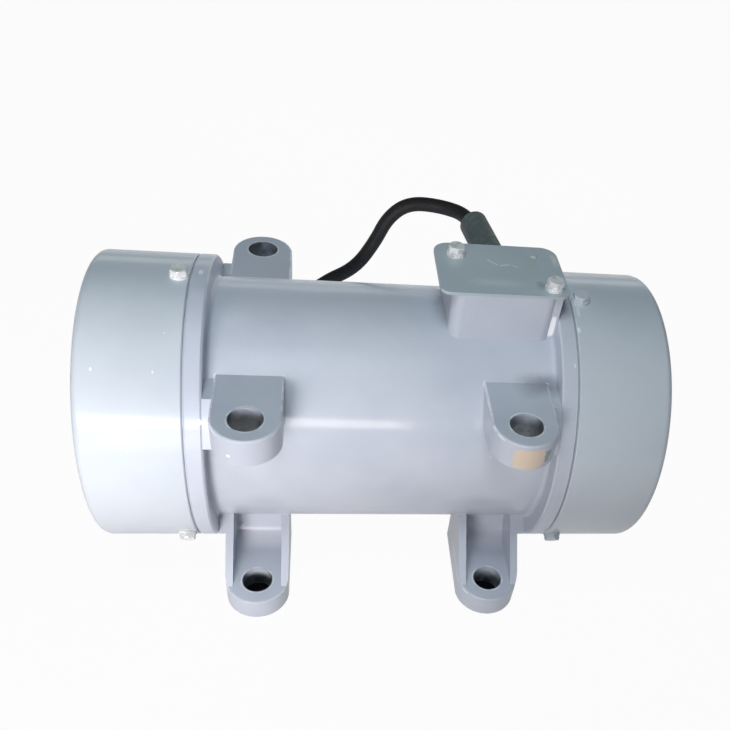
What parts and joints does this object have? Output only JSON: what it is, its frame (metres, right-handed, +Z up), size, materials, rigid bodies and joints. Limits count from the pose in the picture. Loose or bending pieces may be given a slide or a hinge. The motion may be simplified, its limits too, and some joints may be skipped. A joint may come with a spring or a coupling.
{
  "type": "rotary vibration motor",
  "caption": "External vibration motor: ribbed cast barrel with feet and lugs, cup covers over adjustable unbalance weights, flat-lid terminal box, gland and rubber cable.",
  "frame": {"origin": "on the floor, in the middle between the four feet, below the shaft", "axes": "+X along the shaft towards the terminal box end, -Y towards the front, +Z up"},
  "size_m": [0.38, 0.3458, 0.2324],
  "materials": {
    "blue_grey_paint": "gloss enamel",
    "lid_paint": "gloss enamel",
    "zinc_plate": "zinc plated",
    "black_steel": "black oxide",
    "bearing_steel": "ground",
    "shaft_steel": "turned",
    "weight_iron": "as cast, oiled",
    "lamination_steel": "varnished sheet stack",
    "cage_aluminium": "cast",
    "bearing_brass": "machined",
    "enamelled_copper": "varnished",
    "bare_copper": "bright",
    "terminal_brass": "nickel plated",
    "black_rubber": "matt",
    "gasket_rubber": "matt",
    "gland_rubber": "satin",
    "board_plastic": "moulded thermoset",
    "core_insulation": "coloured insulation"
  },
  "bodies": {
    "frame": {"motor_housing": "blue_grey_paint", "stator_core": "lamination_steel", "stator_winding": "enamelled_copper", "winding_leads": "core_insulation", "terminal_box_lid": "lid_paint", "lid_gasket": "gasket_rubber", "lid_rivet": "lid_paint", "lid_bolts": "zinc_plate", "lid_washers": "zinc_plate", "lid_spring_washers": "black_steel", "terminal_board": "board_plastic", "terminal_studs": "terminal_brass", "terminal_screws": "zinc_plate", "gland_sleeve": "gland_rubber", "gland_bush": "black_rubber", "power_cable": "black_rubber", "power_cable_coil": "black_rubber", "cable_cores": "core_insulation", "cable_core_copper": "bare_copper", "right_end_shield": "blue_grey_paint", "right_shield_bolts": "black_steel", "right_cover_seal": "gasket_rubber", "right_weight_cover": "blue_grey_paint", "right_cover_screws": "zinc_plate", "right_cover_washers": "zinc_plate", "right_bearing_cap": "shaft_steel", "right_cap_screws": "black_steel", "right_outer_race": "bearing_steel", "left_end_shield": "blue_grey_paint", "left_shield_bolts": "black_steel", "left_cover_seal": "gasket_rubber", "left_weight_cover": "blue_grey_paint", "left_cover_screws": "zinc_plate", "left_cover_washers": "zinc_plate", "left_bearing_cap": "shaft_steel", "left_cap_screws": "black_steel", "left_outer_race": "bearing_steel"},
    "rotor": {"rotor_shaft": "shaft_steel", "rotor_core": "lamination_steel", "rotor_cage": "cage_aluminium", "right_inner_race": "bearing_steel", "right_spacer_sleeve": "shaft_steel", "right_fixed_weight": "weight_iron", "right_weight_key": "shaft_steel", "right_tab_washer": "zinc_plate", "right_shaft_nut": "black_steel", "left_inner_race": "bearing_steel", "left_spacer_sleeve": "shaft_steel", "left_fixed_weight": "weight_iron", "left_weight_key": "shaft_steel", "left_tab_washer": "zinc_plate", "left_shaft_nut": "black_steel"},
    "right_roller_set": {"right_bearing_rollers": "bearing_steel", "right_bearing_cage": "bearing_brass"},
    "right_adjustable_weight_set": {"right_adjustable_weight": "weight_iron", "right_pinch_bolt": "zinc_plate"},
    "left_roller_set": {"left_bearing_rollers": "bearing_steel", "left_bearing_cage": "bearing_brass"},
    "left_adjustable_weight_set": {"left_adjustable_weight": "weight_iron", "left_pinch_bolt": "zinc_plate"}
  },
  "joints": [
    {"name": "rotor_spin", "type": "hinge", "parent": "frame", "child": "rotor", "pos_m": [0, 0, 0.11], "axis": [1, 0, 0], "continuous": true},
    {"name": "right_cage_spin", "type": "hinge", "parent": "frame", "child": "right_roller_set", "pos_m": [0.1195, 0, 0.11], "axis": [1, 0, 0], "continuous": true},
    {"name": "left_cage_spin", "type": "hinge", "parent": "frame", "child": "left_roller_set", "pos_m": [-0.1195, 0, 0.11], "axis": [1, 0, 0], "continuous": true},
    {"name": "right_weight_adjust", "type": "hinge", "parent": "rotor", "child": "right_adjustable_weight_set", "pos_m": [0.167, 0, 0.11], "axis": [1, 0, 0], "range_deg": [0, 180]},
    {"name": "left_weight_adjust", "type": "hinge", "parent": "rotor", "child": "left_adjustable_weight_set", "pos_m": [-0.167, 0, 0.11], "axis": [1, 0, 0], "range_deg": [0, 180]}
  ],
  "couplings": [
    {"joint": "right_cage_spin", "follows": "rotor_spin", "ratio": 0.3947},
    {"joint": "left_cage_spin", "follows": "rotor_spin", "ratio": 0.3947}
  ]
}
